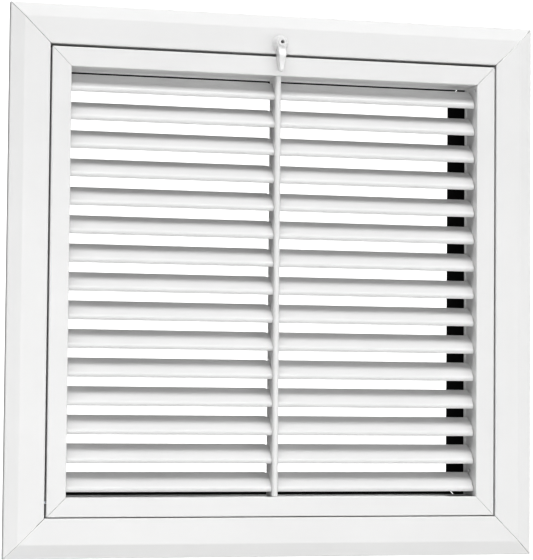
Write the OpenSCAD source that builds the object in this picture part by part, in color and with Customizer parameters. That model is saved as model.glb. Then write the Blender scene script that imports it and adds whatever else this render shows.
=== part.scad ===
// Louvred air grille with a drop-down hinged core, a fixed-blade front and a turn-button latch.
// X runs left to right, Y runs from the room into the duct, Z is up.
// The origin is the centre of the neck on the wall plane, which the flange's back edge touches.

/* [Outer frame] */
// Side of the square face that shows on the wall
face_size = 388.6; // [388:0.2:396]
// Side of the square hole that the core closes
frame_opening = 332; // [332:0.5:333]
// How far the flat front stands off the wall plane
front_proud = 8; // [8:0.5:10]
// Outside of the neck that goes into the duct
neck_size = 343; // [342.8:0.1:343]
// How far the neck reaches behind the wall plane
neck_depth = 46; // [46:1:60]
// Wall thickness of the frame's extrusion
frame_wall = 1.4; // [1.2:0.1:1.5]
// Width of the sloping border outside the flat band
border_w = 9.8; // [9:0.1:12]
// How far the sloping border falls back towards the wall
border_drop = 2.8; // [2:0.2:3.4]
// How wide the frame's mitre joints stand open
frame_mitre_gap = 0.35; // [0.1:0.05:0.5]

/* [Hinged core] */
// Clear opening of the core between its four profiles
core_opening = 302; // [300:1:302]
// Width of a core profile's front face
core_face_w = 13.75; // [13.5:0.05:13.75]
// Depth of the core's inner walls
core_depth = 26; // [25:0.5:27]
// Wall thickness of the core's extrusion
core_wall = 1.3; // [1.2:0.1:1.4]
// Gap under the core, where it is hinged
hinge_gap = 0.6; // [0.6:0.05:0.8]
// How wide the core's mitre joints stand open
core_mitre_gap = 0.2; // [0.1:0.05:0.4]

/* [Blades] */
// Thickness of a blade's wall
blade_t = 1.3; // [1.1:0.1:1.5]
// Height of the lowest blade's underside above the core's bottom wall
blade_foot = 3.45; // [2.5:0.05:4]
// Radius of the rounded front edge, at the middle of the wall
nose_r = 1.5; // [1.4:0.1:1.7]
// Gap between a blade's end and the core's side wall
blade_end_gap = 0.6; // [0.3:0.1:0.8]
// Setback of the blades from the core's front face
blade_setback = 4.6; // [4.2:0.1:5]

/* [Mullion] */
// Width of the upright bar in the middle
mullion_w = 4.4; // [4:0.1:5]
// Depth of the upright bar
mullion_depth = 17.5; // [17:0.5:20]
// Setback of the bar from the core's front face
mullion_setback = 2; // [1.5:0.1:2.5]

/* [Filter stop] */
// Clear opening inside the black stop at the back of the neck
stop_opening = 293; // [285:1:300]
// How wide the stop's mitres stand open
stop_mitre_gap = 0.8; // [0.4:0.1:1]

/* [Hinge] */
// Radius of a hinge pin
pin_r = 1.25; // [1:0.05:1.4]
// Height of the hinge axis above the core's bottom edge
hinge_rise = 10; // [10:0.5:12]
// Depth of the hinge axis behind the core's front face
hinge_back = 3.8; // [3.7:0.1:3.8]

/* [Latch] */
// Height of the latch's pivot above the middle of the frame
latch_z = 173.9; // [173.9:0.1:176]
// Reach of the latch finger from its pivot
latch_reach = 21.3; // [19:0.1:23]
// How far the latch's hub stands off the face, without the rivet's head
hub_h = 6.8; // [5:0.1:7]

/* [Hidden] */
$fn = 64;
blade_count = 15;
front_y = -front_proud;
wall_y = 0;
half_face = face_size / 2;
fi = frame_opening / 2;
neck_out = neck_size / 2;
neck_in = neck_out - frame_wall;
rebate_back = 6;
half_core = core_opening / 2;
core_out = half_core + core_face_w;
core_z = -(fi - hinge_gap - core_out);
core_web_back = 2;
core_back = front_y + core_depth;
corner_r = 0.8;
frame_edge_r = 1;
bead_w = 0.7;
bead_len = 3.2;
bar_len = face_size + 20;
cut_len = 300;
pitch = core_opening / blade_count;
hinge_y = front_y + hinge_back;
hinge_z = core_z - core_out + hinge_rise;
stop_wall = 1.2;
stop_front = 20;
stop_back = neck_depth - 0.4;
stop_out = neck_in - 0.1;
key_clear = 0.12;
frame_key_leg = 35;
core_key_leg = 32;
bush_r = 1.9;
bush_len = 8.8;
bush_end = core_out - core_wall - 0.15;
running_clear = 0.05;
slot_clear = 0.55;
slot_tilt = 7;
blade_face_r = 90;
blade_tail_angle = 124.8;
blade_nose_angle = 135;
blade_hook = 1.6;
tab_front = 0.5;
tab_back = 6.5;
tab_clear = 0.3;
notch_half = 2.7;
notch_flare = 3.9;
notch_deep = 2.7;
screw_r = 1.2;
screw_y = 5.4;
screw_len = 5.1;
screw_head_r = 2.6;
screw_head_h = 1.8;
screw_hole_r = 1.4;
fixing_r = 2.25;
fixing_y = 14;
fixing_z = 110;
vent_r = 1.2;
vent_len = 3.6;
rivet_r = 1.6;
stop_rivet_y = 34;
stop_rivet_at = 95;
latch_head_r = 3.4;
latch_hole_r = 1.2;
washer_t = 0.4;
hub_base_r = 5.8;
hub_rim_h = 1;
hub_top_r = 4;
hub_step = 0.4;
finger_root_w = 6;
finger_neck_w = 5.4;
finger_neck_at = 9.5;
finger_tip_r = 1.4;
finger_step = 0.6;
finger_rise = 2.8;
rivet_head_h = 1.2;
rivet_bulb_r = 2.2;
core_stop_x = 130;

WHITE = [0.93, 0.93, 0.92];
BLACK = [0.05, 0.05, 0.05];
MILL = [0.72, 0.73, 0.74];
STEEL = [0.55, 0.56, 0.58];
NYLON = [0.85, 0.84, 0.80];

// Points on an arc about c, from angle a0 to angle a1 in n steps
function arc(c, r, a0, a1, n) =
    [for (i = [0:n]) let (a = a0 + (a1 - a0) * i / n) [c[0] + r * cos(a), c[1] + r * sin(a)]];

// ---- the shared way of making a mitred bar ----

// Turns what is drawn on the right-hand side to another side: 0 right, 1 top, 2 left, 3 bottom
module to_side(side) {
    rotate([0, -90 * side, 0]) children();
}

// A length of the section in children(), drawn as [distance from the centre, depth], with both ends mitred
module mitred_bar(gap) {
    intersection() {
        linear_extrude(height = bar_len, center = true) children();
        rotate([90, 0, 0])
            linear_extrude(height = cut_len, center = true)
                polygon([[gap / sqrt(2), 0], [bar_len, bar_len - gap / sqrt(2)],
                         [bar_len, -bar_len + gap / sqrt(2)]]);
    }
}

// ---- outer frame ----

module frame_section() {
    border_x = half_face - border_w;
    lip_y = front_y + border_drop;
    difference() {
        polygon(concat(
            [[fi, rebate_back]],
            arc([fi + frame_edge_r, front_y + frame_edge_r], frame_edge_r, 180, 270, 6),
            [[border_x, front_y]],
            arc([half_face - 0.8, lip_y + 0.8], 0.8, 285, 360, 5),
            [[half_face, wall_y], [half_face - frame_wall, wall_y],
             [half_face - frame_wall, lip_y + 1.2],
             [border_x - 0.2, front_y + frame_wall],
             [neck_out, front_y + frame_wall], [neck_out, neck_depth],
             [neck_in, neck_depth], [neck_in, rebate_back]]));
        translate([fi + frame_wall, front_y + frame_wall])
            square([neck_in - fi - frame_wall, rebate_back - frame_wall - front_y - frame_wall]);
    }
}

module frame_bar() {
    mitred_bar(frame_mitre_gap) frame_section();
}

// Screw holes in the neck for fixing the grille in the wall, reached with the core open
module fixing_holes() {
    for (z = [-fixing_z, fixing_z])
        translate([neck_in - 2, fixing_y, z])
            rotate([0, 90, 0]) cylinder(r = fixing_r, h = frame_wall + 4);
}

module stop_rivet_holes() {
    for (z = [-stop_rivet_at, stop_rivet_at])
        translate([neck_in - 4, stop_rivet_y, z])
            rotate([0, 90, 0]) cylinder(r = rivet_r, h = frame_wall + 8);
}

module hinge_hole(from, to, r) {
    translate([from, hinge_y, hinge_z]) rotate([0, 90, 0]) cylinder(r = r, h = to - from);
}

module frame_top() {
    color(WHITE) difference() {
        to_side(1) difference() {
            frame_bar();
            stop_rivet_holes();
        }
        translate([0, front_y - 1, latch_z]) rotate([-90, 0, 0]) cylinder(r = rivet_r, h = 4);
        for (x = [-core_stop_x, core_stop_x])
            translate([x, 3.4, fi - 1]) cylinder(r = 1, h = frame_wall + 2);
    }
}

module frame_bottom() {
    color(WHITE) to_side(3) difference() {
        frame_bar();
        stop_rivet_holes();
    }
}

module frame_right_shape() {
    difference() {
        frame_bar();
        stop_rivet_holes();
        fixing_holes();
        hinge_hole(fi - 1, fi + frame_wall + 0.5, pin_r);
    }
}

module frame_right() {
    color(WHITE) frame_right_shape();
}

module frame_left() {
    color(WHITE) mirror([1, 0, 0]) frame_right_shape();
}

// An L of square-cut bar that joins two mitred profiles, drawn for the top right corner
module corner_key(u0, u1, y0, y1, leg) {
    translate([0, y1, 0]) rotate([90, 0, 0])
        linear_extrude(height = y1 - y0)
            polygon([[u1, u1], [u1 - leg, u1], [u1 - leg, u0], [u0, u0], [u0, u1 - leg], [u1, u1 - leg]]);
}

module frame_corner_keys() {
    u0 = fi + frame_wall + key_clear;
    u1 = neck_in - key_clear;
    y0 = front_y + frame_wall + key_clear;
    y1 = rebate_back - frame_wall - key_clear;
    color(MILL) {
        for (side = [0, 1]) to_side(side) corner_key(u0, u1, y0, y1, frame_key_leg);
        for (m = [0, 1]) mirror([m, 0, 0]) difference() {
            mirror([0, 0, 1]) corner_key(u0, u1, y0, y1, frame_key_leg);
            hinge_hole(u0 - 1, u1 + 1, pin_r);
        }
    }
}

// ---- black stop that a filter panel rests on ----

module stop_bar() {
    lip_front = stop_back - stop_wall;
    difference() {
        mitred_bar(stop_mitre_gap)
            polygon([[stop_opening / 2, lip_front], [stop_out - stop_wall, lip_front],
                     [stop_out - stop_wall, stop_front], [stop_out, stop_front],
                     [stop_out, stop_back], [stop_opening / 2, stop_back]]);
        stop_rivet_holes();
    }
}

module filter_stop_top() { color(BLACK) to_side(1) stop_bar(); }
module filter_stop_bottom() { color(BLACK) to_side(3) stop_bar(); }
module filter_stop_left() { color(BLACK) to_side(2) stop_bar(); }
module filter_stop_right() { color(BLACK) to_side(0) stop_bar(); }

// A set blind rivet along +X: head outside the neck, bulb inside the stop
module stop_rivet() {
    grip = neck_out - stop_out + stop_wall;
    rotate([0, -90, 0]) {
        cylinder(r = rivet_r, h = grip);
        translate([0, 0, -0.9]) cylinder(r1 = 2.4, r2 = 3.1, h = 0.9);
        translate([0, 0, grip]) cylinder(r1 = 2.5, r2 = 1.8, h = 1.8);
    }
}

module filter_stop_rivets() {
    color(MILL) for (side = [0:3]) to_side(side)
        for (z = [-stop_rivet_at, stop_rivet_at])
            translate([neck_out, stop_rivet_y, z]) stop_rivet();
}

// ---- hinge ----

module hinge_pins() {
    color(STEEL) for (m = [0, 1]) mirror([m, 0, 0])
        hinge_hole(bush_end - bush_len + 0.3, neck_in - 0.4, pin_r);
}

module hinge_bushes() {
    color(NYLON) for (m = [0, 1]) mirror([m, 0, 0]) difference() {
        hinge_hole(bush_end - bush_len, bush_end, bush_r);
        hinge_hole(bush_end - bush_len - 1, core_out, pin_r + running_clear);
    }
}

// Small moulded blocks in the rebate that the closed core's top rests against
module core_stops() {
    color(NYLON) for (x = [-core_stop_x, core_stop_x]) {
        translate([x - 5, core_web_back + 0.3, fi - 6]) cube([10, 6.5, 6]);
        translate([x, 3.4, fi - 0.5]) cylinder(r = 1, h = frame_wall + 1.2);
    }
}

// ---- hinged core ----

module core_section() {
    w0 = half_core;
    w1 = core_out;
    difference() {
        polygon(concat(
            [[w0 - bead_w, core_back], [w0 - bead_w, core_back - bead_len + bead_w],
             [w0, core_back - bead_len]],
            arc([w0 + corner_r, front_y + corner_r], corner_r, 180, 270, 5),
            arc([w1 - corner_r, front_y + corner_r], corner_r, 270, 360, 5),
            [[w1, core_web_back], [w0 + core_wall, core_web_back], [w0 + core_wall, core_back]]));
        translate([w0 + core_wall, front_y + core_wall])
            square([core_face_w - 2 * core_wall, core_web_back - front_y - 2 * core_wall]);
    }
}

module core_bar() {
    mitred_bar(core_mitre_gap) core_section();
}

module in_core() {
    translate([0, 0, core_z]) children();
}

// A core bar with the hole that the mullion's screw passes through
module screwed_core_bar() {
    difference() {
        core_bar();
        translate([half_core - 1, screw_y, 0]) rotate([0, 90, 0]) cylinder(r = screw_hole_r, h = core_wall + 2);
    }
}

module core_top() {
    color(WHITE) in_core() to_side(1) screwed_core_bar();
}

module core_bottom() {
    color(WHITE) in_core() to_side(3) screwed_core_bar();
}

// Slot for a blade's end tab
module wall_slot() {
    rotate([90, 0, 90]) linear_extrude(height = core_wall + 1, center = true) intersection() {
        polygon(blade_outline(tab_clear));
        translate([tab_front - tab_clear, 0]) square([tab_back - tab_front + 2 * tab_clear, 2 * pitch]);
    }
}

// Small oblong hole punched in the core's inner wall, near an end
module vent_hole(y, z) {
    apart = (vent_len - 2 * vent_r) / 2;
    translate([half_core - 2, y, z]) rotate([0, 90, 0]) {
        for (dy = [-apart, apart]) translate([0, dy, 0]) cylinder(r = vent_r, h = core_wall + 3);
        translate([-vent_r, -apart, 0]) cube([2 * vent_r, 2 * apart, core_wall + 3]);
    }
}

module core_right_shape() {
    difference() {
        in_core() core_bar();
        for (i = [1:blade_count]) translate([half_core + core_wall / 2, 0, blade_z(i)]) wall_slot();
        vent_hole(front_y + 14.6, -133.2);
        vent_hole(front_y + 4.8, 147.2);
        hinge_hole(core_out - core_wall - 1, core_out + 1, pin_r + 0.35);
    }
}

module core_right() {
    color(WHITE) core_right_shape();
}

module core_left() {
    color(WHITE) mirror([1, 0, 0]) core_right_shape();
}

module core_key_shape() {
    corner_key(half_core + core_wall + key_clear, core_out - core_wall - key_clear,
               front_y + core_wall + key_clear, core_web_back - core_wall - key_clear, core_key_leg);
}

module core_corner_keys() {
    color(MILL) in_core() for (side = [0, 1]) to_side(side) core_key_shape();
}

module hinge_corner_keys() {
    color(MILL) for (m = [0, 1]) mirror([m, 0, 0]) difference() {
        in_core() mirror([0, 0, 1]) core_key_shape();
        hinge_hole(bush_end - bush_len, core_out, bush_r);
    }
}

// ---- louvre blades ----

// Underside height of blade i, counted from the top
function blade_z(i) = core_z - half_core + blade_foot + (blade_count - i) * pitch;

// Middle line of the blade's wall as [depth, height, normal angle]: the face, the rounded nose, the hook
function blade_line() =
    let (r_out = nose_r + blade_t / 2,
         nose = [front_y + blade_setback + r_out, r_out],
         face = nose - (blade_face_r - nose_r) * [cos(blade_nose_angle), sin(blade_nose_angle)])
    concat(
        [for (i = [0:7]) let (a = blade_tail_angle + (blade_nose_angle - blade_tail_angle) * i / 8)
            [face[0] + blade_face_r * cos(a), face[1] + blade_face_r * sin(a), a]],
        [for (i = [0:10]) let (a = blade_nose_angle + (270 - blade_nose_angle) * i / 10)
            [nose[0] + nose_r * cos(a), nose[1] + nose_r * sin(a), a]],
        [[nose[0] + blade_hook, nose[1] - nose_r, 270]]);

// Outline of the wall, grown by extra all round for the slots that it passes through
function blade_outline(extra) =
    let (line = blade_line(),
         last = len(line) - 1,
         h = blade_t / 2 + extra,
         outer = [for (k = [0:last]) let (p = line[k],
                  e = k == 0 ? -extra : k == last ? extra : 0)
                  [p[0] + h * cos(p[2]) - e * sin(p[2]), p[1] + h * sin(p[2]) + e * cos(p[2])]],
         inner = [for (k = [last:-1:0]) let (p = line[k],
                  e = k == 0 ? -extra : k == last ? extra : 0)
                  [p[0] - h * cos(p[2]) - e * sin(p[2]), p[1] - h * sin(p[2]) + e * cos(p[2])]])
    concat(outer, inner);

// The blade's section as a prism along X, centred on X
module blade_prism(length) {
    rotate([90, 0, 90])
        linear_extrude(height = length, center = true) polygon(blade_outline(0));
}

// Notch in the rear edge, where the blade crosses the mullion
module blade_notch() {
    tail_y = blade_line()[0][0];
    side = [[notch_half, -notch_deep], [notch_half + 0.2 * notch_flare, -0.65 * notch_deep],
            [notch_half + 0.5 * notch_flare, -0.3 * notch_deep], [notch_half + notch_flare, 0],
            [notch_half + notch_flare, notch_deep]];
    translate([0, tail_y]) linear_extrude(height = 30, center = true)
        polygon(concat(side, [for (k = [len(side) - 1:-1:0]) [-side[k][0], side[k][1]]]));
}

module blade(i) {
    color(WHITE) translate([0, 0, blade_z(i)]) difference() {
        union() {
            blade_prism(core_opening - 2 * blade_end_gap);
            // tabs that reach through the core's side walls
            rotate([90, 0, 90]) linear_extrude(height = core_opening + 2 * core_wall, center = true) intersection() {
                polygon(blade_outline(0));
                translate([tab_front, 0]) square([tab_back - tab_front, 2 * pitch]);
            }
        }
        translate([0, 0, blade_line()[0][1]]) blade_notch();
    }
}

// ---- mullion ----

// Slot for one blade: it opens towards the rear, so that the blade can be tilted in
module mullion_slot() {
    nose = [front_y + blade_setback + nose_r + blade_t / 2, nose_r + blade_t / 2];
    rotate([90, 0, 90]) linear_extrude(height = mullion_w + 2, center = true)
        for (tilt = [0, slot_tilt / 2, slot_tilt])
            translate(nose) rotate(tilt) translate(-nose) polygon(blade_outline(slot_clear));
}

module mullion_section() {
    y0 = front_y + mullion_setback;
    r = mullion_w / 2;
    translate([0, y0 + r]) circle(r = r);
    translate([-r, y0 + r]) square([mullion_w, mullion_depth - r]);
}

module mullion() {
    length = core_opening - 0.4;
    color(WHITE) difference() {
        in_core() linear_extrude(height = length, center = true) mullion_section();
        for (i = [1:blade_count]) translate([0, 0, blade_z(i)]) mullion_slot();
        in_core() for (m = [0, 1]) mirror([0, 0, m])
            translate([0, screw_y, half_core + core_wall - screw_len]) cylinder(r = screw_r, h = screw_len);
    }
}

module mullion_screws() {
    color(STEEL) in_core() for (m = [0, 1]) mirror([0, 0, m])
        translate([0, screw_y, half_core + core_wall]) {
            translate([0, 0, -screw_len]) cylinder(r = screw_r, h = screw_len);
            difference() {
                cylinder(r1 = screw_head_r, r2 = screw_head_r - 0.5, h = screw_head_h);
                for (a = [0, 90]) rotate([0, 0, a])
                    translate([-1.6, -0.35, screw_head_h - 1]) cube([3.2, 0.7, 2]);
            }
        }
}

// ---- latch ----

module at_latch(y) {
    translate([0, y, latch_z]) rotate([90, 0, 0]) children();
}

module latch_washer() {
    color(NYLON) at_latch(front_y) difference() {
        cylinder(r = 4.6, h = washer_t);
        translate([0, 0, -1]) cylinder(r = rivet_r + running_clear, h = 3);
    }
}

// Outline of the finger seen from the front, with its root in the hub
module finger_front() {
    tip = finger_tip_r - latch_reach;
    polygon([[-finger_root_w / 2, 0], [-finger_neck_w / 2, -finger_neck_at], [-finger_tip_r, tip],
             [finger_tip_r, tip], [finger_neck_w / 2, -finger_neck_at], [finger_root_w / 2, 0]]);
    translate([0, tip]) circle(r = finger_tip_r);
}

// Outline of the finger seen from the side: it rises to a knee, and falls back to a dished thumb rest
module finger_side() {
    root = hub_h - washer_t - finger_step;
    knee = root + finger_rise;
    tip = -latch_reach;
    polygon([[0, 0], [0, root], [-finger_neck_at + 3.5, root + 1], [-finger_neck_at, knee],
             [-finger_neck_at - 1.5, knee - 0.3], [tip + 7.3, knee - 1.6], [tip + 4.3, knee - 2.2],
             [tip + 1.3, knee - 2.3], [tip, knee - 3], [tip, knee - 5.2], [tip + 1.3, knee - 6.2],
             [tip + 7.3, 0.8], [tip + 9.3, 0]]);
}

module latch_lever() {
    color(WHITE) at_latch(front_y - washer_t) difference() {
        union() {
            cylinder(r = hub_base_r, h = hub_rim_h);
            translate([0, 0, hub_rim_h])
                cylinder(r1 = hub_base_r - hub_step, r2 = hub_top_r, h = hub_h - washer_t - hub_rim_h);
            intersection() {
                linear_extrude(height = hub_h + finger_rise) finger_front();
                rotate([90, 0, 90]) linear_extrude(height = 2 * hub_base_r, center = true) finger_side();
            }
        }
        translate([0, 0, -1]) cylinder(r = rivet_r + running_clear, h = hub_h + 4);
    }
}

// Tubular rivet that the latch turns on, with its head in front and its bulb behind the face
module latch_rivet() {
    shank = hub_h + frame_wall + 0.1;
    color(MILL) at_latch(front_y + frame_wall) difference() {
        union() {
            translate([0, 0, -1.8]) cylinder(r1 = rivet_bulb_r - 0.5, r2 = rivet_bulb_r, h = 1.8);
            cylinder(r = rivet_r, h = shank);
            translate([0, 0, shank]) cylinder(r1 = latch_head_r, r2 = latch_head_r - 0.5, h = rivet_head_h);
        }
        translate([0, 0, 0.5]) cylinder(r = latch_hole_r, h = shank + 4);
    }
}

frame_top();
frame_bottom();
frame_left();
frame_right();
frame_corner_keys();
filter_stop_top();
filter_stop_bottom();
filter_stop_left();
filter_stop_right();
filter_stop_rivets();
hinge_pins();
core_stops();
latch_rivet();
latch_washer();
core_top();
core_bottom();
core_left();
core_right();
core_corner_keys();
hinge_corner_keys();
hinge_bushes();
mullion();
mullion_screws();
blade(1);  // blade_01
blade(2);  // blade_02
blade(3);  // blade_03
blade(4);  // blade_04
blade(5);  // blade_05
blade(6);  // blade_06
blade(7);  // blade_07
blade(8);  // blade_08
blade(9);  // blade_09
blade(10);  // blade_10
blade(11);  // blade_11
blade(12);  // blade_12
blade(13);  // blade_13
blade(14);  // blade_14
blade(15);  // blade_15
latch_lever();
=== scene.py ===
"""Looks of a louvred air grille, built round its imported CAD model.

The pieces are drawn in millimetres in the CAD frame: X left to right, Y from the room into the duct,
Z up, with the wall plane at Y = 0. They are scaled to metres when they are finished.
"""

import math

import bmesh
import bpy
from mathutils import Matrix, Vector


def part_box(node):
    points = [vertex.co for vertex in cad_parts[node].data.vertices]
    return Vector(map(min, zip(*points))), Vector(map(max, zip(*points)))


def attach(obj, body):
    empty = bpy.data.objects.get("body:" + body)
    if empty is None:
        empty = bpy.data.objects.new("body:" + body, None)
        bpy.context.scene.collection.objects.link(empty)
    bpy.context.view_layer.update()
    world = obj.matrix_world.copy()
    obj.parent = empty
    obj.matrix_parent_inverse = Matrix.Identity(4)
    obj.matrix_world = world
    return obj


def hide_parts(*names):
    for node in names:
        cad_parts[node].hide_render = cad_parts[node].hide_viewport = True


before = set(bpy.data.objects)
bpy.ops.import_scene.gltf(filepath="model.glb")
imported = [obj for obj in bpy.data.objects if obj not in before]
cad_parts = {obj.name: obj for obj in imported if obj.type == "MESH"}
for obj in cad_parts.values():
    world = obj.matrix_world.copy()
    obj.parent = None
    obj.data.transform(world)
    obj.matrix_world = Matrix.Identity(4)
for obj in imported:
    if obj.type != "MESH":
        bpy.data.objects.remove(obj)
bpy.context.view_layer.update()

MM = 0.001
SIDES = ("right", "top", "left", "bottom")

# ---- sizes read from the CAD model ----


def cad(node):
    """Lowest and highest corner of a CAD node, in millimetres."""
    low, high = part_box(node)
    return low / MM, high / MM


FRAME_LOW, FRAME_HIGH = cad("frame_top")
CORE_LOW, CORE_HIGH = cad("core_top")
CORE_FOOT = cad("core_bottom")[0]
STOP_LOW, STOP_HIGH = cad("filter_stop_top")
MULLION_LOW, MULLION_HIGH = cad("mullion")
LEVER_LOW, LEVER_HIGH = cad("latch_lever")
RIVET_LOW, RIVET_HIGH = cad("latch_rivet")
PIN_LOW, PIN_HIGH = cad("hinge_pins")
BUSH_LOW, BUSH_HIGH = cad("hinge_bushes")
PAD_LOW, PAD_HIGH = cad("core_stops")
SCREW_LOW, SCREW_HIGH = cad("mullion_screws")
HEAD_HIGH = cad("filter_stop_rivets")[1]

FRONT = FRAME_LOW.y                  # front face of the grille
NECK_BACK = FRAME_HIGH.y             # rear end of the neck
HALF_FACE = FRAME_HIGH.z             # half of the square face
FRAME_HOLE = FRAME_LOW.z             # half of the square hole that the core closes
CORE_Z = (CORE_HIGH.z + CORE_FOOT.z) / 2
CORE_OUT = (CORE_HIGH.z - CORE_FOOT.z) / 2
CORE_BACK = CORE_HIGH.y
LATCH_Z = (RIVET_LOW.z + RIVET_HIGH.z) / 2
BLADES = [name for name in sorted(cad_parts) if name.startswith("blade_")]

# ---- sizes that the CAD boxes don't give, in millimetres ----

FRAME_WALL = 1.4
NECK_OUT = 171.5
NECK_IN = NECK_OUT - FRAME_WALL
REBATE_BACK = 6.0
BORDER_X = 184.5                     # where the flat band meets the sloping border
BORDER_DROP = 2.8
BORDER_WALL = 1.2                    # depth of wall behind the border's outer edge
CORE_WALL = 1.3
CORE_WEB_BACK = 2.0
BEAD_W = 0.7
BEAD_LEN = 3.2
OPENING = CORE_LOW.z - CORE_Z + BEAD_W
FRAME_MITRE_GAP = 0.35
CORE_MITRE_GAP = 0.2
STOP_MITRE_GAP = 0.8
STOP_WALL = 1.2
BLADE_T = 1.3
NOSE_R = 1.5
BLADE_FACE_R = 90.0
BLADE_EDGE_R = 0.5
TAIL_ANGLE = 124.8
NOSE_ANGLE = 135.0
HOOK = 1.6
SLOT_CLEAR = 0.55
SLOT_TILT = 7.0                      # degrees that the mullion's slots open by
BLADE_END_GAP = 0.6
TAB_FRONT = 0.5                      # where a blade's end tab starts and ends, in depth
TAB_BACK = 6.5
TAB_CLEAR = 0.3
NOTCH_HALF = 2.7
NOTCH_FLARE = 3.9
NOTCH_DEEP = 2.7
FIXING_R = 2.25
FIXING_Y = 14.0
FIXING_Z = 110.0
RIVET_R = 1.6
STOP_RIVET_Y = 34.0
STOP_RIVET_AT = 95.0
VENTS = ((FRONT + 14.6, -133.2), (FRONT + 4.8, 147.2))
VENT_R = 1.2
VENT_LEN = 3.6
SCREW_HOLE_R = 1.4
TURN_CLEAR = 0.05                    # round a pin or rivet that something turns on
EDGE_R = 0.3                         # plain corner of an extrusion

# ---- what the shaping works with, in millimetres ----

SPARE = 10.0                         # length that a mitre cut takes away
PAST = 1.0                           # how far a drill goes past a wall
WELD = 0.001                         # points nearer than this are one
NEAR = 0.0001                        # nearer than this is on a plane or an axis
HAIR = 0.01                          # keeps a full round from using up its whole edge


# ---- materials ----


def linear(code):
    """The linear colour of an sRGB hex code."""
    parts = [int(code[i:i + 2], 16) / 255 for i in (1, 3, 5)]
    return [c / 12.92 if c <= 0.04045 else ((c + 0.055) / 1.055) ** 2.4 for c in parts] + [1.0]


def add(tree, kind, inputs=None, **settings):
    """Adds a shader node; an input is a number, a colour or the socket that feeds it."""
    made = tree.nodes.new("ShaderNode" + kind)
    for key, value in settings.items():
        setattr(made, key, value)
    for key, value in (inputs or {}).items():
        if isinstance(value, bpy.types.NodeSocket):
            tree.links.new(value, made.inputs[key])
        else:
            made.inputs[key].default_value = value
    return made


def new_material(name):
    """An empty node material, its tree and the Object coordinates in metres."""
    material = bpy.data.materials.new(name)
    material.use_nodes = True
    tree = material.node_tree
    tree.nodes.clear()
    place = add(tree, "TexCoord").outputs["Object"]
    return material, tree, place


def noise(tree, place, size_mm, detail=2.0, roughness=0.5):
    """Noise whose features are about size_mm across."""
    return add(tree, "TexNoise", {"Vector": place, "Scale": 1 / (size_mm * MM), "Detail": detail,
                                  "Roughness": roughness}).outputs["Fac"]


def between(tree, factor, low, high, start=0.3, end=0.7):
    """A number that runs from low to high as factor runs from start to end."""
    return add(tree, "MapRange", {"Value": factor, "From Min": start, "From Max": end,
                                  "To Min": low, "To Max": high}).outputs["Result"]


def tinted(tree, factor, dark, light):
    """A colour between two sRGB codes."""
    mix = add(tree, "Mix", {"Factor": factor}, data_type="RGBA")
    mix.inputs[6].default_value = linear(dark)
    mix.inputs[7].default_value = linear(light)
    return mix.outputs[2]


def relief(tree, height, depth_mm):
    """A bump of depth_mm from a height between 0 and 1."""
    return add(tree, "Bump", {"Height": height, "Distance": depth_mm * MM, "Strength": 1.0}).outputs["Normal"]


def finish(tree, **sockets):
    """The shader, with its sockets given as names with underscores, and the output."""
    shader = add(tree, "BsdfPrincipled", {key.replace("_", " "): value for key, value in sockets.items()})
    add(tree, "OutputMaterial", {"Surface": shader.outputs["BSDF"]})


def white_powder_coat():
    # Polyester powder baked on aluminium: a satin white with a faint orange peel about 2 mm across,
    # and a film that is a little greyer where it lies thin.
    material, tree, place = new_material("white_powder_coat")
    peel = noise(tree, place, 2.4, 1.0)
    film = noise(tree, place, 70.0, 3.0)
    grain = noise(tree, place, 0.5, 2.0)
    height = add(tree, "Math", {0: grain, 1: 0.25, 2: peel}, operation="MULTIPLY_ADD").outputs[0]
    finish(tree, Base_Color=tinted(tree, film, "#DEDEDE", "#E4E4E4"), IOR=1.5,
           Roughness=between(tree, peel, 0.36, 0.44), Normal=relief(tree, height, 0.012))
    return material


def black_powder_coat():
    # Fine-texture black powder: matt, with a grit that breaks up the light.
    material, tree, place = new_material("black_powder_coat")
    grit = noise(tree, place, 0.7, 3.0, 0.6)
    film = noise(tree, place, 40.0, 2.0)
    finish(tree, Base_Color=tinted(tree, film, "#0E0E0E", "#161616"), IOR=1.5,
           Roughness=between(tree, grit, 0.58, 0.72), Normal=relief(tree, grit, 0.04))
    return material


def mill_aluminium():
    # Aluminium as it leaves the saw and the die: grey, with fine drawn lines and dull patches.
    material, tree, place = new_material("mill_aluminium")
    stretched = add(tree, "Mapping", {"Vector": place, "Scale": (0.06, 1.0, 1.0)}).outputs["Vector"]
    lines = noise(tree, stretched, 0.35, 2.0)
    patches = noise(tree, place, 9.0, 3.0)
    finish(tree, Base_Color=tinted(tree, patches, "#BFC1C3", "#D2D4D6"), Metallic=1.0,
           Roughness=between(tree, lines, 0.32, 0.5), Normal=relief(tree, lines, 0.012))
    return material


def zinc_plated_steel():
    # Bright zinc over steel wire: cool grey with cloudy patches a few millimetres across.
    material, tree, place = new_material("zinc_plated_steel")
    clouds = noise(tree, place, 2.5, 3.0)
    grain = noise(tree, place, 0.4, 2.0)
    finish(tree, Base_Color=tinted(tree, clouds, "#A9AEB5", "#C6CACF"), Metallic=1.0,
           Roughness=between(tree, clouds, 0.24, 0.4), Normal=relief(tree, grain, 0.008))
    return material


def nylon():
    # Natural moulded nylon: milky off-white, waxy, with the faint grain of its mould.
    material, tree, place = new_material("nylon")
    grain = noise(tree, place, 0.45, 2.0)
    milk = noise(tree, place, 6.0, 2.0)
    finish(tree, Base_Color=tinted(tree, milk, "#DEDBD0", "#EAE7DD"), IOR=1.53, Subsurface_Weight=0.15,
           Subsurface_Scale=0.001, Roughness=between(tree, grain, 0.4, 0.52),
           Normal=relief(tree, grain, 0.012))
    return material


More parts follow.
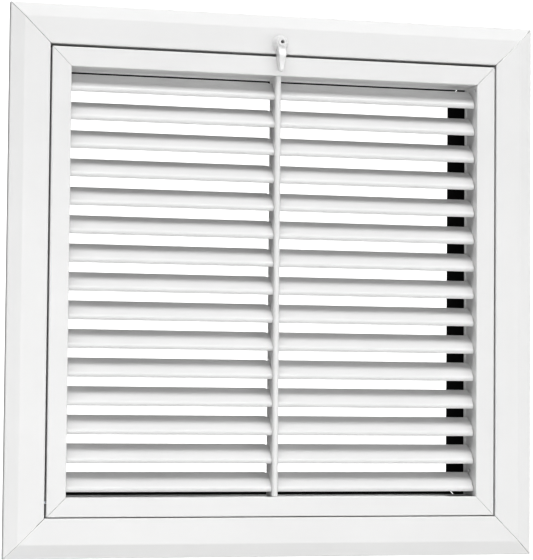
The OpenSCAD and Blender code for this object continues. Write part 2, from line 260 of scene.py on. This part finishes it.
def latch_plastic():
    # Moulded ABS in the frame's white: smoother and a touch glossier than the powder coat.
    material, tree, place = new_material("latch_plastic")
    grain = noise(tree, place, 0.6, 2.0)
    flow = noise(tree, place, 8.0, 2.0)
    finish(tree, Base_Color=tinted(tree, flow, "#E4E4E4", "#ECECEC"), IOR=1.54,
           Roughness=between(tree, grain, 0.27, 0.36), Normal=relief(tree, grain, 0.008))
    return material


def painted_rivet():
    # A steel rivet painted with the frame: white, with a few bare flecks where it was set.
    material, tree, place = new_material("painted_rivet")
    flecks = noise(tree, place, 0.8, 3.0, 0.65)
    bare = between(tree, flecks, 0.0, 1.0, 0.66, 0.7)
    finish(tree, Base_Color=tinted(tree, bare, "#E2E2E2", "#8C8F93"), IOR=1.5, Metallic=bare,
           Roughness=between(tree, flecks, 0.3, 0.42), Normal=relief(tree, flecks, 0.015))
    return material


def studio_floor():
    # Matt painted board, with a faint mottling.
    material, tree, place = new_material("studio_floor")
    mottle = noise(tree, place, 120.0, 2.0)
    finish(tree, Base_Color=tinted(tree, mottle, "#EDEDEC", "#F3F3F2"), Roughness=0.8)
    return material


MATERIALS = {make.__name__: make() for make in (
    white_powder_coat, black_powder_coat, mill_aluminium, zinc_plated_steel, nylon, latch_plastic,
    painted_rivet)}

# ---- shared ways of shaping ----


def corner_steps(radius):
    """Steps round a corner: two for a broken edge, more for a round that shows."""
    if radius < 0.4:
        return 2
    return 5 if radius < 1.5 else 10


def outline(corners_of_each, height=0.0):
    """Closed outlines in the X-Y plane, each a list of (x, y, corner radius), with those corners rounded."""
    bm = bmesh.new()
    rounded = {}
    for corners in corners_of_each:
        verts = [bm.verts.new((x, y, height)) for x, y, radius in corners]
        bm.faces.new(verts)
        for vert, (x, y, radius) in zip(verts, corners):
            rounded.setdefault(radius, []).append(vert)
    for radius, verts in sorted(rounded.items(), key=lambda pair: pair[0]):
        if radius > 0:
            bmesh.ops.bevel(bm, geom=verts, offset=radius, offset_type="OFFSET", affect="VERTICES",
                            segments=corner_steps(radius), profile=0.5, material=-1)
    return bm


def close_ends(bm):
    """Fills the open ends of a tube, one at each end of Z."""
    for up in (True, False):
        rim = [e for e in bm.edges if e.is_boundary and (e.verts[0].co.z + e.verts[1].co.z > 0) == up]
        bmesh.ops.triangle_fill(bm, edges=rim, use_beauty=True, use_dissolve=False)


def drawn(corners_of_each, length):
    """A bar along Z, centred, with the section that the outlines give and open ends."""
    bm = outline(corners_of_each, -length / 2)
    bmesh.ops.delete(bm, geom=bm.faces[:], context="FACES_ONLY")
    grown = bmesh.ops.extrude_edge_only(bm, edges=bm.edges[:])["geom"]
    bmesh.ops.translate(bm, verts=[v for v in grown if isinstance(v, bmesh.types.BMVert)],
                        vec=(0, 0, length))
    return bm


def mitred(corners_of_each, gap):
    """A bar of the right-hand side, whose ends are cut at 45 degrees and stop short of their neighbours."""
    bm = drawn(corners_of_each, 2 * (HALF_FACE + SPARE))
    for end in (1, -1):
        bmesh.ops.bisect_plane(bm, geom=bm.verts[:] + bm.edges[:] + bm.faces[:], dist=NEAR,
                               plane_co=(gap / math.sqrt(2), 0, 0), plane_no=(-1, 0, end),
                               clear_outer=True)
    close_ends(bm)
    bmesh.ops.recalc_face_normals(bm, faces=bm.faces[:])
    return bm


def squared(corners_of_each, length):
    """A bar along Z with square ends."""
    bm = drawn(corners_of_each, length)
    close_ends(bm)
    bmesh.ops.recalc_face_normals(bm, faces=bm.faces[:])
    return bm


def spun(corners, place=None, steps=48):
    """A turned piece: corners are (radius, height, corner radius), spun round Z and put in its place."""
    bm = outline([corners])
    bmesh.ops.delete(bm, geom=bm.faces[:], context="FACES_ONLY")
    on_axis = [e for e in bm.edges if max(abs(v.co.x) for v in e.verts) < NEAR]
    bmesh.ops.delete(bm, geom=on_axis, context="EDGES")
    bmesh.ops.rotate(bm, verts=bm.verts[:], cent=(0, 0, 0), matrix=Matrix.Rotation(math.pi / 2, 3, "X"))
    bmesh.ops.spin(bm, geom=bm.verts[:] + bm.edges[:], cent=(0, 0, 0), axis=(0, 0, 1),
                   angle=2 * math.pi, steps=steps, use_merge=True)
    bmesh.ops.remove_doubles(bm, verts=bm.verts[:], dist=WELD / 2)
    bmesh.ops.recalc_face_normals(bm, faces=bm.faces[:])
    if place is not None:
        bmesh.ops.transform(bm, matrix=place, verts=bm.verts[:])
    return bm


def along(direction, at):
    """The matrix that turns Z to a direction and moves the origin to a point."""
    return Matrix.Translation(at) @ Vector(direction).to_track_quat("Z", "Y").to_matrix().to_4x4()


# turns what is drawn as (depth, height) in X-Y into what faces along X
FROM_SIDE = Matrix(((0, 0, 1, 0), (1, 0, 0, 0), (0, 1, 0, 0), (0, 0, 0, 1)))


def drill(bm, radius, start, end):
    """Adds a cylinder from start to end, for a hole."""
    start, end = Vector(start), Vector(end)
    bmesh.ops.create_cone(bm, cap_ends=True, segments=32, radius1=radius, radius2=radius,
                          depth=(end - start).length, matrix=along(end - start, (start + end) / 2))


def block(bm, low, high):
    """Adds a box between two corners."""
    low, high = Vector(low), Vector(high)
    size = high - low
    bmesh.ops.create_cube(bm, size=1, matrix=Matrix.Translation((low + high) / 2)
                          @ Matrix.Diagonal((size.x, size.y, size.z, 1)))


def soften(bm, radius, test=None):
    """Rounds the sharp edges, or those of them that pass a test."""
    sharp = [e for e in bm.edges if e.is_manifold and e.calc_face_angle() > math.radians(40)
             and (test is None or test(e))]
    bmesh.ops.bevel(bm, geom=sharp, offset=radius, offset_type="OFFSET", affect="EDGES",
                    segments=3, profile=0.5, material=-1)


def join(*parts):
    """One bmesh of several; the parts are used up."""
    whole = bmesh.new()
    for part in parts:
        mesh = bpy.data.meshes.new("part")
        part.to_mesh(mesh)
        part.free()
        whole.from_mesh(mesh)
        bpy.data.meshes.remove(mesh)
    return whole


def combine(bm, other, operation="DIFFERENCE"):
    """The bmesh with the other cut from it, joined to it or met with it; both are used up."""
    objects = []
    for name, part in (("body", bm), ("tool", other)):
        mesh = bpy.data.meshes.new(name)
        part.to_mesh(mesh)
        part.free()
        objects.append(bpy.data.objects.new(name, mesh))
        bpy.context.scene.collection.objects.link(objects[-1])
    body, tool = objects
    cut = body.modifiers.new("cut", "BOOLEAN")
    cut.object = tool
    cut.operation = operation
    cut.solver = "EXACT"
    bpy.context.view_layer.update()
    result = bpy.data.meshes.new_from_object(body.evaluated_get(bpy.context.evaluated_depsgraph_get()))
    made = bmesh.new()
    made.from_mesh(result)
    bpy.data.meshes.remove(result)
    for scratch in objects:
        mesh = scratch.data
        bpy.data.objects.remove(scratch)
        bpy.data.meshes.remove(mesh)
    return made


def to_side(bm, side):
    """Turns what is drawn on the right-hand side to another side, counted from the right to the bottom."""
    bmesh.ops.rotate(bm, verts=bm.verts[:], cent=(0, 0, 0),
                     matrix=Matrix.Rotation(math.radians(-90 * SIDES.index(side)), 3, "Y"))
    return bm


def mirrored(bm):
    """The same shape on the other side of X = 0."""
    bmesh.ops.scale(bm, verts=bm.verts[:], vec=(-1, 1, 1))
    bmesh.ops.reverse_faces(bm, faces=bm.faces[:])
    return bm


def moved(bm, offset):
    """The same shape, shifted."""
    bmesh.ops.translate(bm, verts=bm.verts[:], vec=offset)
    return bm


def pair(bm):
    """A shape and its mirror image in X = 0."""
    return join(mirrored(bm.copy()), bm)


def piece(bm, name, body, finish_name, *nodes, sharp_at=32):
    """Makes the finished object: it rides on a body, and stands for its CAD nodes."""
    bmesh.ops.remove_doubles(bm, verts=bm.verts[:], dist=WELD)
    bmesh.ops.dissolve_degenerate(bm, edges=bm.edges[:], dist=WELD / 2)
    bmesh.ops.scale(bm, verts=bm.verts[:], vec=(MM, MM, MM))
    for face in bm.faces:
        face.smooth = True
    for edge in bm.edges:
        edge.smooth = edge.is_manifold and edge.calc_face_angle() < math.radians(sharp_at)
    mesh = bpy.data.meshes.new(name)
    bm.to_mesh(mesh)
    bm.free()
    mesh.materials.append(MATERIALS[finish_name])
    made = bpy.data.objects.new(name, mesh)
    bpy.context.scene.collection.objects.link(made)
    # keeps the shading of flat faces even up to their rounded edges
    even = made.modifiers.new("even_shading", "WEIGHTED_NORMAL")
    even.keep_sharp = True
    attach(made, body)
    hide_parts(*nodes)
    return made


# ---- outer frame ----


def frame_outlines():
    """The frame's extrusion: flange with a sloping border, closed chamber and neck."""
    lip = FRONT + BORDER_DROP
    back_of_face = FRONT + FRAME_WALL
    rim_in = HALF_FACE - FRAME_WALL
    border_in = BORDER_X - 0.2
    skin = [(FRAME_HOLE, REBATE_BACK, EDGE_R), (FRAME_HOLE, FRONT, 1.0), (BORDER_X, FRONT, 0.6),
            (HALF_FACE, lip, 0.8), (HALF_FACE, 0.0, EDGE_R), (rim_in, 0.0, EDGE_R),
            (rim_in, lip + BORDER_WALL, 0.5), (border_in, back_of_face, EDGE_R),
            (NECK_OUT, back_of_face, 0.5), (NECK_OUT, NECK_BACK, EDGE_R),
            (NECK_IN, NECK_BACK, EDGE_R), (NECK_IN, REBATE_BACK, EDGE_R)]
    chamber_x = FRAME_HOLE + FRAME_WALL
    chamber_back = REBATE_BACK - FRAME_WALL
    chamber = [(chamber_x, back_of_face, EDGE_R), (NECK_IN, back_of_face, EDGE_R),
               (NECK_IN, chamber_back, EDGE_R), (chamber_x, chamber_back, EDGE_R)]
    return [skin, chamber]


def frame_bars():
    """The four bars, drilled for the stop's rivets and, at the sides, for the screws into the wall."""
    for side in SIDES:
        bar = mitred(frame_outlines(), FRAME_MITRE_GAP)
        holes = bmesh.new()
        for z in (-STOP_RIVET_AT, STOP_RIVET_AT):
            drill(holes, RIVET_R, (NECK_IN - PAST, STOP_RIVET_Y, z), (NECK_OUT + PAST, STOP_RIVET_Y, z))
        if side in ("left", "right"):
            for z in (-FIXING_Z, FIXING_Z):
                drill(holes, FIXING_R, (NECK_IN - PAST, FIXING_Y, z), (NECK_OUT + PAST, FIXING_Y, z))
        bar = to_side(combine(bar, holes), side)
        piece(bar, f"frame_{side}_profile", "frame", "white_powder_coat", f"frame_{side}")


# ---- filter stop ----


def filter_stops():
    """Folded black strips whose mitred lips leave a slit at each corner."""
    lip = STOP_HIGH.y - STOP_WALL
    reach = STOP_HIGH.z
    inside = reach - STOP_WALL
    corners = [(STOP_LOW.z, lip, EDGE_R), (inside, lip, 0.6), (inside, STOP_LOW.y, EDGE_R),
               (reach, STOP_LOW.y, EDGE_R), (reach, STOP_HIGH.y, 1.6), (STOP_LOW.z, STOP_HIGH.y, EDGE_R)]
    for side in SIDES:
        strip = mitred([corners], STOP_MITRE_GAP)
        holes = bmesh.new()
        for z in (-STOP_RIVET_AT, STOP_RIVET_AT):
            drill(holes, RIVET_R, (inside - STOP_WALL, STOP_RIVET_Y, z), (reach + PAST, STOP_RIVET_Y, z))
        strip = to_side(combine(strip, holes), side)
        piece(strip, f"filter_stop_{side}_strip", "frame", "black_powder_coat",
              f"filter_stop_{side}")


def stop_rivets():
    """Blind rivets: a domed head with its broken stem outside, and the upset bulb inside."""
    head_h = HEAD_HIGH.x - NECK_OUT
    grip = NECK_OUT - (STOP_HIGH.z - STOP_WALL)
    head_r = 3.1
    stem_r = 0.8
    stem_top = head_h - 0.35
    bulb_r = 2.45
    bulb_end = -grip - 1.8
    corners = [(0, stem_top, 0), (stem_r, stem_top, 0), (stem_r + 0.15, head_h, 0.1),
               (head_r - 0.7, head_h, 0.4), (head_r, 0.15, 0.1), (head_r - 0.05, 0, 0), (RIVET_R, 0, 0),
               (RIVET_R, -grip, 0), (bulb_r, -grip - 0.5, 0.3), (bulb_r - 0.65, bulb_end, 0.5),
               (0, bulb_end, 0)]
    rivets = []
    for side in SIDES:
        for z in (-STOP_RIVET_AT, STOP_RIVET_AT):
            rivet = spun(corners, along((1, 0, 0), (NECK_OUT, STOP_RIVET_Y, z)), 32)
            rivets.append(to_side(rivet, side))
    piece(join(*rivets), "filter_stop_rivet_set", "frame", "mill_aluminium", "filter_stop_rivets")


# ---- hinge and stops ----


def hinge_parts():
    """The two pins in the frame, and the nylon bushes that turn on them."""
    pin_r = (PIN_HIGH.y - PIN_LOW.y) / 2
    bush_r = (BUSH_HIGH.y - BUSH_LOW.y) / 2
    hinge_y = (PIN_LOW.y + PIN_HIGH.y) / 2
    hinge_z = (PIN_LOW.z + PIN_HIGH.z) / 2
    bush_len = 8.8
    bush_start = BUSH_HIGH.x - bush_len
    pin_start = bush_start + 0.3
    pin_len = PIN_HIGH.x - pin_start
    pin = spun([(0, 0, 0), (pin_r, 0, EDGE_R), (pin_r, pin_len, EDGE_R), (0, pin_len, 0)],
               along((1, 0, 0), (pin_start, hinge_y, hinge_z)), 32)
    piece(pair(pin), "hinge_pin_pair", "frame", "zinc_plated_steel", "hinge_pins")
    bore = pin_r + TURN_CLEAR
    bush = spun([(bore, 0, 0.15), (bush_r, 0, 0.2), (bush_r, bush_len, 0.2), (bore, bush_len, 0.15)],
                along((1, 0, 0), (bush_start, hinge_y, hinge_z)), 32)
    piece(pair(bush), "hinge_bush_pair", "core", "nylon", "hinge_bushes")


def core_stops():
    """Moulded pads with a pressed-in stud, which the closed core's top rests against."""
    pad_w = 10.0
    stud_r = 1.0
    stud_y = 3.4
    sunk = 0.5                           # how far the stud starts inside the pad
    pad = bmesh.new()
    block(pad, (PAD_HIGH.x - pad_w, PAD_LOW.y, PAD_LOW.z), (PAD_HIGH.x, PAD_HIGH.y, FRAME_HOLE))
    soften(pad, 0.6)
    stud_len = PAD_HIGH.z - FRAME_HOLE + sunk
    stud = spun([(0, 0, 0), (stud_r, 0, 0), (stud_r, stud_len, EDGE_R), (0, stud_len, 0)],
                Matrix.Translation((PAD_HIGH.x - pad_w / 2, stud_y, FRAME_HOLE - sunk)), 24)
    piece(pair(combine(pad, stud, "UNION")), "core_stop_pair", "frame", "nylon", "core_stops")


# ---- blades ----


def blade_prism(length, underside, grow=0.0, tilt=0.0):
    """The blade's wall along X, swept from its tail edge: a shallow face, a rounded nose and a short hook.

    A slot for it is the same wall, grown all round and turned up about the nose.
    """
    face_steps = 8
    nose_steps = 12
    nose_out = NOSE_R + BLADE_T / 2
    nose_y = cad("blade_01")[0].y + nose_out
    nose = Vector((0, nose_y, underside + nose_out))
    normal = Vector((0, math.cos(math.radians(NOSE_ANGLE)), math.sin(math.radians(NOSE_ANGLE))))
    face_centre = nose - normal * (BLADE_FACE_R - NOSE_R)
    half = BLADE_T / 2 + grow
    grow_angle = math.degrees(grow / BLADE_FACE_R)
    tail = math.radians(TAIL_ANGLE - grow_angle)
    across = Vector((0, math.cos(tail), math.sin(tail)))
    bm = bmesh.new()
    ends = [bm.verts.new(face_centre + across * (BLADE_FACE_R + side * half)) for side in (-1, 1)]
    edge = bm.edges.new(ends)
    for centre, degrees, steps in ((face_centre, NOSE_ANGLE - TAIL_ANGLE + grow_angle, face_steps),
                                   (nose, 270 - NOSE_ANGLE, nose_steps)):
        last = bmesh.ops.spin(bm, geom=[edge, *edge.verts], cent=centre, axis=(1, 0, 0),
                              angle=math.radians(degrees), steps=steps)["geom_last"]
        edge = [e for e in last if isinstance(e, bmesh.types.BMEdge)][0]
    hook = bmesh.ops.extrude_edge_only(bm, edges=[edge])["geom"]
    hook_verts = [v for v in hook if isinstance(v, bmesh.types.BMVert)]
    bmesh.ops.translate(bm, verts=hook_verts, vec=(0, HOOK + grow, 0))
    if grow == 0.0:
        bmesh.ops.bevel(bm, geom=ends + hook_verts, offset=BLADE_EDGE_R, offset_type="OFFSET",
                        affect="VERTICES", segments=3, profile=0.5, material=-1)
    bmesh.ops.translate(bm, verts=bm.verts[:], vec=(-length / 2, 0, 0))
    solid = bmesh.ops.extrude_face_region(bm, geom=bm.faces[:], use_keep_orig=True)["geom"]
    bmesh.ops.translate(bm, verts=[v for v in solid if isinstance(v, bmesh.types.BMVert)],
                        vec=(length, 0, 0))
    bmesh.ops.rotate(bm, verts=bm.verts[:], cent=nose,
                     matrix=Matrix.Rotation(math.radians(tilt), 3, "X"))
    bmesh.ops.recalc_face_normals(bm, faces=bm.faces[:])
    return bm


def tab_prism(length, underside, grow=0.0):
    """The stretch of a blade's wall that carries on through the core's side walls."""
    keep = bmesh.new()
    below = underside - 5
    above = underside + 20
    block(keep, (-length, TAB_FRONT - grow, below), (length, TAB_BACK + grow, above))
    return combine(blade_prism(length, underside, grow), keep, "INTERSECT")


def undersides():
    """Heights of the blades' lowest edges."""
    return [cad(name)[0].z for name in BLADES]


def blades():
    """One blade is made with its end tabs and its notch for the mullion, and the others are its copies."""
    low, high = cad("blade_01")
    wall = blade_prism(2 * (OPENING - BLADE_END_GAP), low.z)
    blank = combine(wall, tab_prism(high.x - low.x, low.z), "UNION")
    # the notch's right side in X and depth from the tail edge, from its bottom out to where it is widest
    side = [(NOTCH_HALF, -NOTCH_DEEP, 0.3), (NOTCH_HALF + 0.2 * NOTCH_FLARE, -0.65 * NOTCH_DEEP, 0.3),
            (NOTCH_HALF + 0.5 * NOTCH_FLARE, -0.3 * NOTCH_DEEP, 0.5), (NOTCH_HALF + NOTCH_FLARE, 0, 0.5),
            (NOTCH_HALF + NOTCH_FLARE, NOTCH_DEEP, 0)]
    flared = side + [(-x, y, radius) for x, y, radius in reversed(side)]
    cutter_h = 30.0
    notch = squared([flared], cutter_h)
    blank = combine(blank, moved(notch, (0, high.y, high.z)))
    for name in BLADES:
        blade = moved(blank.copy(), (0, 0, cad(name)[0].z - low.z))
        piece(blade, f"louvre_{name}", "core", "white_powder_coat", name)
    blank.free()


# ---- hinged core ----


def core_outlines():
    """The core's extrusion: a face with a closed chamber behind it and a beaded inner wall."""
    bead_in = OPENING - BEAD_W
    wall_out = OPENING + CORE_WALL
    skin = [(bead_in, CORE_BACK, EDGE_R), (bead_in, CORE_BACK - BEAD_LEN + BEAD_W, 0.2),
            (OPENING, CORE_BACK - BEAD_LEN, 0.2), (OPENING, FRONT, 0.8), (CORE_OUT, FRONT, 0.8),
            (CORE_OUT, CORE_WEB_BACK, EDGE_R), (wall_out, CORE_WEB_BACK, EDGE_R),
            (wall_out, CORE_BACK, EDGE_R)]
    chamber_front = FRONT + CORE_WALL
    chamber_back = CORE_WEB_BACK - CORE_WALL
    chamber_out = CORE_OUT - CORE_WALL
    chamber = [(wall_out, chamber_front, EDGE_R), (chamber_out, chamber_front, EDGE_R),
               (chamber_out, chamber_back, EDGE_R), (wall_out, chamber_back, EDGE_R)]
    return [skin, chamber]


def vent_holes():
    """Small oblong holes punched near the ends of the core's side walls."""
    holes = []
    half = VENT_LEN / 2
    for y, z in VENTS:
        corners = [(y - half, z - VENT_R), (y + half, z - VENT_R), (y + half, z + VENT_R),
                   (y - half, z + VENT_R)]
        slot = squared([[(along_y, up, VENT_R - HAIR) for along_y, up in corners]], 6 * PAST)
        bmesh.ops.transform(slot, matrix=FROM_SIDE, verts=slot.verts[:])
        holes.append(moved(slot, (OPENING, 0, 0)))
    return join(*holes)


def core_bars():
    """The four bars: screw holes at top and bottom, tab slots and vent holes at the sides."""
    screw_y = (SCREW_LOW.y + SCREW_HIGH.y) / 2
    for side in SIDES:
        bar = mitred(core_outlines(), CORE_MITRE_GAP)
        if side in ("top", "bottom"):
            hole = bmesh.new()
            drill(hole, SCREW_HOLE_R, (OPENING - 2 * PAST, screw_y, 0),
                  (OPENING + CORE_WALL + 2 * PAST, screw_y, 0))
            bar = combine(bar, hole)
        else:
            slots = [tab_prism(CORE_WALL + PAST, z - CORE_Z, TAB_CLEAR) for z in undersides()]
            bar = combine(bar, moved(join(*slots), (OPENING + CORE_WALL / 2, 0, 0)))
            bar = combine(bar, moved(vent_holes(), (0, 0, -CORE_Z)))
        bar = mirrored(bar) if side == "left" else to_side(bar, side)
        piece(moved(bar, (0, 0, CORE_Z)), f"core_{side}_profile", "core", "white_powder_coat",
              f"core_{side}")


def mullion():
    """A bullnosed bar, slotted for the blades."""
    half = MULLION_HIGH.x
    length = MULLION_HIGH.z - MULLION_LOW.z
    nose = half - HAIR
    bar = squared([[(-half, MULLION_LOW.y, nose), (half, MULLION_LOW.y, nose),
                    (half, MULLION_HIGH.y, EDGE_R), (-half, MULLION_HIGH.y, EDGE_R)]], length)
    bar = moved(bar, (0, 0, (MULLION_HIGH.z + MULLION_LOW.z) / 2))
    for tilt in (0.0, SLOT_TILT / 2, SLOT_TILT):
        slots = [blade_prism(2 * (half + PAST), z, SLOT_CLEAR, tilt) for z in undersides()]
        bar = combine(bar, join(*slots))
    piece(bar, "mullion_bar", "core", "white_powder_coat", "mullion")


def mullion_screws():
    """Pan-head screws with a cross recess, driven through the core's top and bottom."""
    screw_y = (SCREW_LOW.y + SCREW_HIGH.y) / 2
    head_r = 2.6
    head_h = 1.8
    shank_r = 1.2
    shank = 5.1
    arm_half = 0.33
    arm_reach = 1.5
    floor = head_h - 1.0
    screws = []
    for up in (1, -1):
        seat = CORE_Z + up * (OPENING + CORE_WALL)
        screw = spun([(0, -shank, 0), (shank_r / 2, -shank, 0.1), (shank_r, shank_r - shank, 0.2),
                      (shank_r, 0, 0), (head_r, 0, 0.2), (head_r - 0.4, head_h, 0.9), (0, head_h, 0)],
                     None, 32)
        cross = bmesh.new()
        block(cross, (-arm_reach, -arm_half, floor), (arm_reach, arm_half, head_h + PAST))
        other = bmesh.new()
        block(other, (-arm_half, -arm_reach, floor), (arm_half, arm_reach, head_h + PAST))
        screw = combine(screw, combine(cross, other, "UNION"))
        bmesh.ops.transform(screw, matrix=along((0, 0, up), (0, screw_y, seat)), verts=screw.verts[:])
        screws.append(screw)
    piece(join(*screws), "mullion_screw_pair", "core", "zinc_plated_steel", "mullion_screws")


# ---- latch ----


def latch_place(y):
    """Puts what is drawn round Z, with its finger down Y, at the latch's pivot at depth y."""
    return Matrix.Translation((0, y, LATCH_Z)) @ Matrix.Rotation(math.pi / 2, 4, "X")


def finger(root_h, knee_h, reach):
    """The latch's finger, along -Y from the pivot: it rises to a knee and falls to a dished thumb rest."""
    root_half = 3.0
    knee_half = 2.7
    knee = -9.5
    tip = -reach
    tip_half = 1.4
    tip_r = tip_half - 0.05
    front = squared([[(-root_half, 0, 0), (-knee_half, knee, 0.8), (-tip_half, tip, tip_r),
                      (tip_half, tip, tip_r), (knee_half, knee, 0.8), (root_half, 0, 0)]],
                    4 * knee_h)
    # over the top from the pivot to the tip, then back underneath
    over = [(1, 0, 0), (1, root_h, 0), (knee + 3.5, root_h + 1, 1.2), (knee, knee_h + 0.1, 0.9),
            (knee - 1.7, knee_h - 0.3, 0.5), (tip + 7.3, knee_h - 1.6, 1.0),
            (tip + 4.3, knee_h - 2.2, 1.0), (tip + 1.3, knee_h - 2.3, 0.4)]
    under = [(tip - 0.1, knee_h - 3, 0.4), (tip - 0.1, knee_h - 5.2, 0.5),
             (tip + 1.3, knee_h - 6.2, 0.5), (tip + 7.3, 0.8, 0.8), (tip + 9.3, 0, 0.6)]
    side = squared([over + under], 8 * root_half)
    bmesh.ops.transform(side, matrix=FROM_SIDE, verts=side.verts[:])
    both = combine(front, side, "INTERSECT")
    bmesh.ops.remove_doubles(both, verts=both.verts[:], dist=5 * WELD)
    bmesh.ops.dissolve_limit(both, angle_limit=math.radians(1), verts=both.verts[:],
                             edges=both.edges[:])
    soften(both, 0.7, lambda edge: min(v.co.z for v in edge.verts) > root_h - 1
           and max(v.co.y for v in edge.verts) < -1)
    return both


def latch():
    """The washer and the tubular rivet on the frame, and the button that turns on them."""
    washer_t = 0.4
    washer_r = 4.6
    bore = RIVET_R + TURN_CLEAR
    washer_top = washer_t - TURN_CLEAR   # the button turns just clear of it
    washer = spun([(bore, 0, 0.1), (washer_r, 0, 0.1), (washer_r, washer_top, 0.1),
                   (bore, washer_top, 0.1)], latch_place(FRONT))
    piece(washer, "latch_washer_disc", "frame", "nylon", "latch_washer")

    head_h = 1.2
    shank = FRONT + FRAME_WALL - RIVET_LOW.y - head_h
    head_r = (RIVET_HIGH.x - RIVET_LOW.x) / 2
    head_top = shank + head_h
    bulb_r = 2.2
    bulb_end = -1.8
    hole_r = 1.2
    hole_floor = 0.5
    rivet = spun([(0, bulb_end, 0), (bulb_r - 0.5, bulb_end, 0.4), (bulb_r, -0.1, 0.1), (RIVET_R, 0, 0),
                  (RIVET_R, shank, 0), (head_r, shank, 0.25), (head_r - 0.3, head_top, 0.55),
                  (hole_r + 0.05, head_top, 0.35), (hole_r, hole_floor, 0), (0, hole_floor, 0)],
                 latch_place(FRONT + FRAME_WALL))
    piece(rivet, "latch_rivet_set", "frame", "painted_rivet", "latch_rivet")

    hub_h = shank - FRAME_WALL - washer_t - 2 * TURN_CLEAR
    hub_r = LEVER_HIGH.x
    hub_top_r = 4.0
    rim_h = 1.0
    step = 0.6
    hub = spun([(bore, 0, 0), (hub_r, 0, 0.2), (hub_r, rim_h, 0.4), (hub_r - step, rim_h + step, 0.6),
                (hub_top_r, hub_h, 0.6), (bore, hub_h, 0)])
    knee_h = FRONT - washer_t - LEVER_LOW.y
    lever = combine(hub, finger(hub_h - step, knee_h, LATCH_Z - LEVER_LOW.z), "UNION")
    through = bmesh.new()
    drill(through, bore, (0, 0, -PAST), (0, 0, hub_h + 4 * PAST))
    lever = combine(lever, through)
    bmesh.ops.transform(lever, matrix=latch_place(FRONT - washer_t), verts=lever.verts[:])
    piece(lever, "latch_turn_button", "latch", "latch_plastic", "latch_lever")


# ---- the studio ----


def studio():
    """A pale floor well below the open core, a white world and soft lamps; all in metres."""
    floor_z = -0.46
    floor_half = 2.2
    bm = bmesh.new()
    bmesh.ops.create_grid(bm, x_segments=1, y_segments=1, size=floor_half,
                          matrix=Matrix.Translation((0, 0, floor_z)))
    mesh = bpy.data.meshes.new("studio_floor")
    bm.to_mesh(mesh)
    bm.free()
    mesh.materials.append(studio_floor())
    floor = bpy.data.objects.new("studio_floor", mesh)
    bpy.context.scene.collection.objects.link(floor)

    world = bpy.data.worlds.new("studio")
    world.use_nodes = True
    tree = world.node_tree
    tree.nodes.clear()
    # plain white where it is seen, and a faint glow from all round where it only lights
    seen = add(tree, "Background", {"Color": (1, 1, 1, 1), "Strength": 1.0})
    soft = add(tree, "Background", {"Color": (1, 1, 1, 1), "Strength": 0.06})
    first_ray = add(tree, "LightPath").outputs["Is Camera Ray"]
    mixed = add(tree, "MixShader", {0: first_ray, 1: soft.outputs[0], 2: seen.outputs[0]})
    add(tree, "OutputWorld", {"Surface": mixed.outputs[0]})
    bpy.context.scene.world = world

    # name, place, width and height, power in watts
    lamps = (("key_softbox", (-0.3, -1.5, 3.0), (4.8, 1.25), 78.0),
             ("fill_softbox", (-0.25, -1.5, -0.35), (1.6, 1.0), 12.0),
             ("side_softbox", (1.5, -1.1, -0.1), (0.9, 1.4), 5.5),
             ("low_softbox", (0.05, -0.8, -0.95), (1.4, 0.5), 9.0),
             ("back_softbox", (1.0, 1.6, 0.7), (1.4, 1.4), 10.0))
    for name, place, (width, height), power in lamps:
        light = bpy.data.lights.new(name, "AREA")
        light.shape = "RECTANGLE"
        light.size = width
        light.size_y = height
        light.energy = power
        lamp = bpy.data.objects.new(name, light)
        lamp.location = place
        lamp.rotation_euler = (-Vector(place)).to_track_quat("-Z", "Y").to_euler()
        bpy.context.scene.collection.objects.link(lamp)


def camera():
    """A long lens, a little left of the grille and below its middle; metres, radians and millimetres."""
    place = Vector((-0.40558, -1.52013, -0.08182))
    yaw = 0.25685
    pitch = 0.05416
    roll = 0.00875
    focal = 140.79
    ahead = Vector((math.sin(yaw) * math.cos(pitch), math.cos(yaw) * math.cos(pitch),
                    math.sin(pitch)))
    level = Vector((math.cos(yaw), -math.sin(yaw), 0))
    upright = level.cross(ahead)
    right = level * math.cos(roll) + upright * math.sin(roll)
    up = upright * math.cos(roll) - level * math.sin(roll)
    data = bpy.data.cameras.new("camera")
    data.lens = focal
    data.sensor_width = 36.0
    data.clip_start = 0.05
    view = bpy.data.objects.new("camera", data)
    turned = Matrix((right, up, -ahead)).transposed().to_4x4()
    view.matrix_world = Matrix.Translation(place) @ turned
    bpy.context.scene.collection.objects.link(view)
    bpy.context.scene.camera = view


camera()
studio()
# a plain view with firm contrast, so that the whites stay white and the gaps dark
bpy.context.scene.view_settings.view_transform = "Standard"
bpy.context.scene.view_settings.look = "High Contrast"
frame_bars()
filter_stops()
stop_rivets()
hinge_parts()
core_stops()
core_bars()
mullion()
mullion_screws()
blades()
latch()

# The corner keys stay as the CAD drew them: sawn bar, out of sight inside the profiles.
for key in ("frame_corner_keys", "core_corner_keys", "hinge_corner_keys"):
    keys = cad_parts[key]
    keys.data.materials.clear()
    keys.data.materials.append(MATERIALS["mill_aluminium"])
